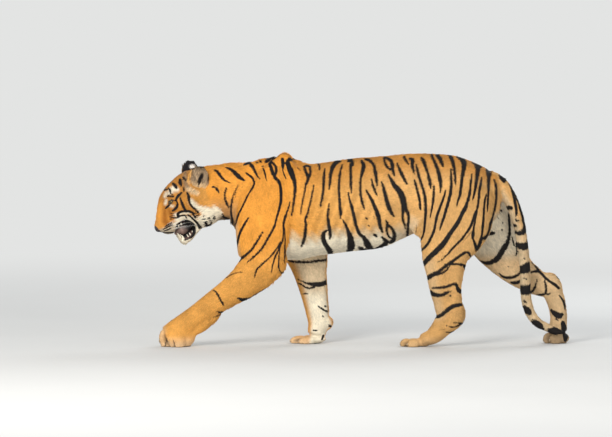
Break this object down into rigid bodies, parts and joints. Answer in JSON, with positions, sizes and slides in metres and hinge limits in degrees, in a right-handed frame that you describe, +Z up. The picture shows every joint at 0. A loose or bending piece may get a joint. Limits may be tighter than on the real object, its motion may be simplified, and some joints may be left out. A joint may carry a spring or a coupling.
{
  "type": "bengal tiger model",
  "caption": "Life-size still model of a striped big cat walking, head lowered and turned, mouth open, tail hanging; it rests on the flats of its paws.",
  "frame": {"origin": "on the floor, under the middle of the body's bounding box", "axes": "+X from the head to the tail, so the animal walks towards -X; +Y to the animal's right side; +Z up"},
  "size_m": [1.9742, 0.396, 0.9098],
  "materials": {
    "coat": "short fur, orange and cream with black stripes",
    "eye": "wet gloss",
    "nose": "moist leathery skin",
    "tongue": "moist, rough with small points",
    "tooth": "polished enamel"
  },
  "bodies": {
    "root": {"head": "coat", "lower_jaw": "coat", "neck": "coat", "chest": "coat", "abdomen": "coat", "pelvis": "coat", "upper_arm_left": "coat", "forearm_left": "coat", "forepaw_left": "coat", "upper_arm_right": "coat", "forearm_right": "coat", "forepaw_right": "coat", "thigh_left": "coat", "shank_left": "coat", "hind_foot_left": "coat", "thigh_right": "coat", "shank_right": "coat", "hind_foot_right": "coat", "tail_base": "coat", "tail_mid": "coat", "tail_end": "coat", "tail_tip": "coat", "ear_left": "coat", "ear_right": "coat", "nose": "nose", "tongue": "tongue", "eye_left": "eye", "eye_right": "eye", "canine_upper_left": "tooth", "canine_upper_right": "tooth", "canine_lower_left": "tooth", "canine_lower_right": "tooth"}
  },
  "joints": []
}
